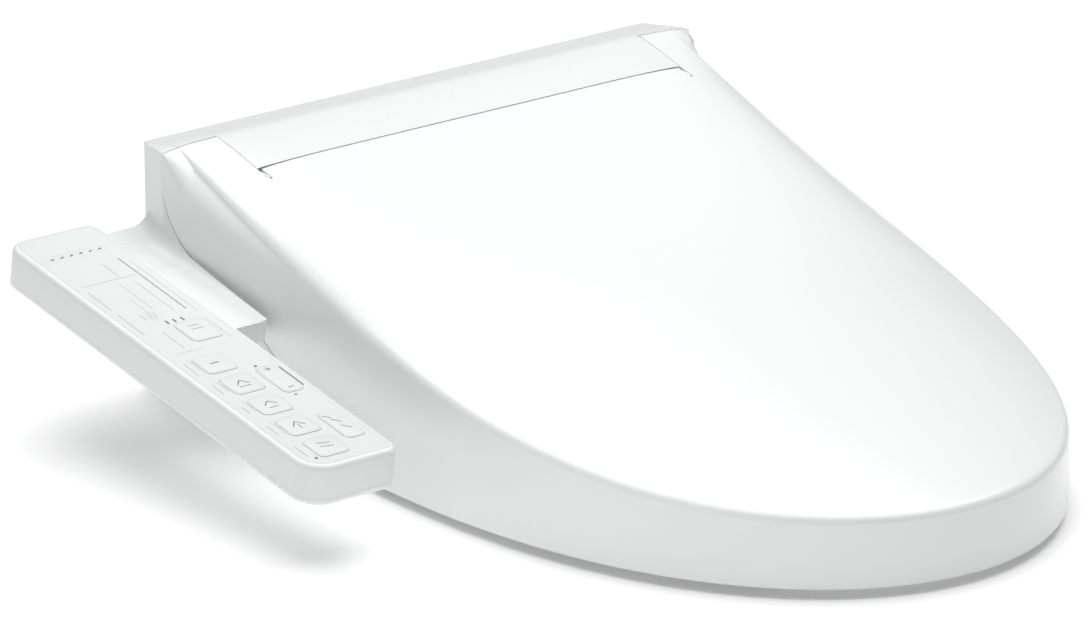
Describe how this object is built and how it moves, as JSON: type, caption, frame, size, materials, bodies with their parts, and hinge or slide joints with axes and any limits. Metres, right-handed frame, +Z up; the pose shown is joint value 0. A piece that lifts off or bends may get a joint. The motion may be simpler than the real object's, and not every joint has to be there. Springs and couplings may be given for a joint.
{
  "type": "electric bidet seat",
  "caption": "Electric bidet seat: deep rounded lid over a heated seat, rear housing with spray nozzle and warm-air outlet, and a side control arm with a keypad.",
  "frame": {"origin": "underside of the mounting plate, on the rim of the bowl, midway between the two bolt slots", "axes": "+Z up, -Y towards the front of the seat, control arm on -X"},
  "size_m": [0.4801, 0.5308, 0.157],
  "materials": {
    "white_moulding": "gloss moulded",
    "panel_film": "satin film",
    "grey_moulding": "matte moulded",
    "dark_moulding": "matte moulded",
    "soft_rubber": "matte",
    "stainless_steel": "brushed",
    "brass": "machined",
    "circuit_board": "solder mask",
    "heater_foil": "foil"
  },
  "bodies": {
    "bowl_plate": {"mounting_plate": "grey_moulding"},
    "unit": {"arm_lower_case": "white_moulding", "arm_screw_1": "stainless_steel", "arm_screw_2": "stainless_steel", "arm_upper_case": "white_moulding", "base_screw_1": "stainless_steel", "base_screw_2": "stainless_steel", "base_screw_3": "stainless_steel", "base_screw_4": "stainless_steel", "base_tray": "grey_moulding", "board_case": "dark_moulding", "cord_gland": "dark_moulding", "drain_plug": "grey_moulding", "dryer_duct": "grey_moulding", "fan_case": "dark_moulding", "feed_hose": "soft_rubber", "flow_regulator": "dark_moulding", "hinge_pin_left": "stainless_steel", "hinge_pin_right": "stainless_steel", "indicator_window": "panel_film", "main_board": "circuit_board", "nozzle_cradle": "grey_moulding", "nozzle_motor": "stainless_steel", "occupancy_window": "dark_moulding", "panel_board": "circuit_board", "panel_overlay": "panel_film", "rear_cover": "white_moulding", "solenoid_valve": "dark_moulding", "wash_hose": "soft_rubber", "water_heater": "grey_moulding", "water_inlet": "brass"},
    "seat": {"seat_upper_shell": "white_moulding", "seat_lower_shell": "white_moulding", "seat_heater_foil": "heater_foil", "seat_bumper_left_front": "soft_rubber", "seat_bumper_left_rear": "soft_rubber", "seat_bumper_right_front": "soft_rubber", "seat_bumper_right_rear": "soft_rubber", "seat_hinge_arm_left": "stainless_steel", "seat_hinge_arm_right": "stainless_steel"},
    "lid": {"lid_shell": "white_moulding", "lid_bumper_left": "soft_rubber", "lid_bumper_right": "soft_rubber"},
    "nozzle": {"nozzle_wand": "white_moulding", "nozzle_tip": "white_moulding"},
    "nozzle_gear": {"nozzle_gear": "grey_moulding"},
    "fan_wheel": {"fan_wheel": "grey_moulding"},
    "dryer_flap": {"dryer_flap": "white_moulding"},
    "cartridge": {"deodoriser_cartridge": "grey_moulding"},
    "release_button": {"release_button": "grey_moulding"},
    "key_stop": {"key_stop": "panel_film"},
    "key_rear_wash": {"key_rear_wash": "panel_film"},
    "key_soft_wash": {"key_soft_wash": "panel_film"},
    "key_front_wash": {"key_front_wash": "panel_film"},
    "key_dryer": {"key_dryer": "panel_film"},
    "key_energy": {"key_energy": "panel_film"},
    "key_pressure": {"key_pressure": "panel_film"},
    "key_position": {"key_position": "panel_film"}
  },
  "joints": [
    {"name": "unit_slide", "type": "slide", "parent": "bowl_plate", "child": "unit", "axis": [0, -1, 0], "range_m": [0, 0.06]},
    {"name": "seat_hinge", "type": "hinge", "parent": "unit", "child": "seat", "pos_m": [0, -0.014, 0.1415], "axis": [-1, 0, 0], "range_deg": [0, 98]},
    {"name": "lid_hinge", "type": "hinge", "parent": "seat", "child": "lid", "pos_m": [0, -0.014, 0.1415], "axis": [1, 0, 0], "range_deg": [-100, 0]},
    {"name": "nozzle_slide", "type": "slide", "parent": "unit", "child": "nozzle", "axis": [0, -0.788, -0.6157], "range_m": [0, 0.09]},
    {"name": "nozzle_gear_spin", "type": "hinge", "parent": "unit", "child": "nozzle_gear", "pos_m": [0, -0.01308, 0.07192], "axis": [1, 0, 0], "range_deg": [-650, 10]},
    {"name": "fan_spin", "type": "hinge", "parent": "unit", "child": "fan_wheel", "pos_m": [0.107, 0.026, 0.046], "axis": [1, 0, 0], "continuous": true},
    {"name": "dryer_flap_hinge", "type": "hinge", "parent": "unit", "child": "dryer_flap", "pos_m": [0.044, -0.0512, 0.026], "axis": [-1, 0, 0], "range_deg": [0, 45]},
    {"name": "cartridge_pull", "type": "slide", "parent": "unit", "child": "cartridge", "axis": [1, 0, 0], "range_m": [0, 0.045]},
    {"name": "release_press", "type": "slide", "parent": "unit", "child": "release_button", "axis": [-1, 0, 0], "range_m": [0, 0.003], "stiffness_N_per_m": 400},
    {"name": "key_stop_press", "type": "slide", "parent": "unit", "child": "key_stop", "axis": [0, 0.1693, -0.9856], "range_m": [0, 0.0005], "stiffness_N_per_m": 300},
    {"name": "key_rear_wash_press", "type": "slide", "parent": "unit", "child": "key_rear_wash", "axis": [0, 0.1693, -0.9856], "range_m": [0, 0.0005], "stiffness_N_per_m": 300},
    {"name": "key_soft_wash_press", "type": "slide", "parent": "unit", "child": "key_soft_wash", "axis": [0, 0.1693, -0.9856], "range_m": [0, 0.0005], "stiffness_N_per_m": 300},
    {"name": "key_front_wash_press", "type": "slide", "parent": "unit", "child": "key_front_wash", "axis": [0, 0.1693, -0.9856], "range_m": [0, 0.0005], "stiffness_N_per_m": 300},
    {"name": "key_dryer_press", "type": "slide", "parent": "unit", "child": "key_dryer", "axis": [0, 0.1693, -0.9856], "range_m": [0, 0.0005], "stiffness_N_per_m": 300},
    {"name": "key_energy_press", "type": "slide", "parent": "unit", "child": "key_energy", "axis": [0, 0.1693, -0.9856], "range_m": [0, 0.0005], "stiffness_N_per_m": 300},
    {"name": "key_pressure_press", "type": "slide", "parent": "unit", "child": "key_pressure", "axis": [0, 0.1693, -0.9856], "range_m": [0, 0.0005], "stiffness_N_per_m": 300},
    {"name": "key_position_press", "type": "slide", "parent": "unit", "child": "key_position", "axis": [0, 0.1693, -0.9856], "range_m": [0, 0.0005], "stiffness_N_per_m": 300}
  ],
  "couplings": [
    {"joint": "nozzle_gear_spin", "follows": "nozzle_slide", "rad_per_m": -125}
  ]
}
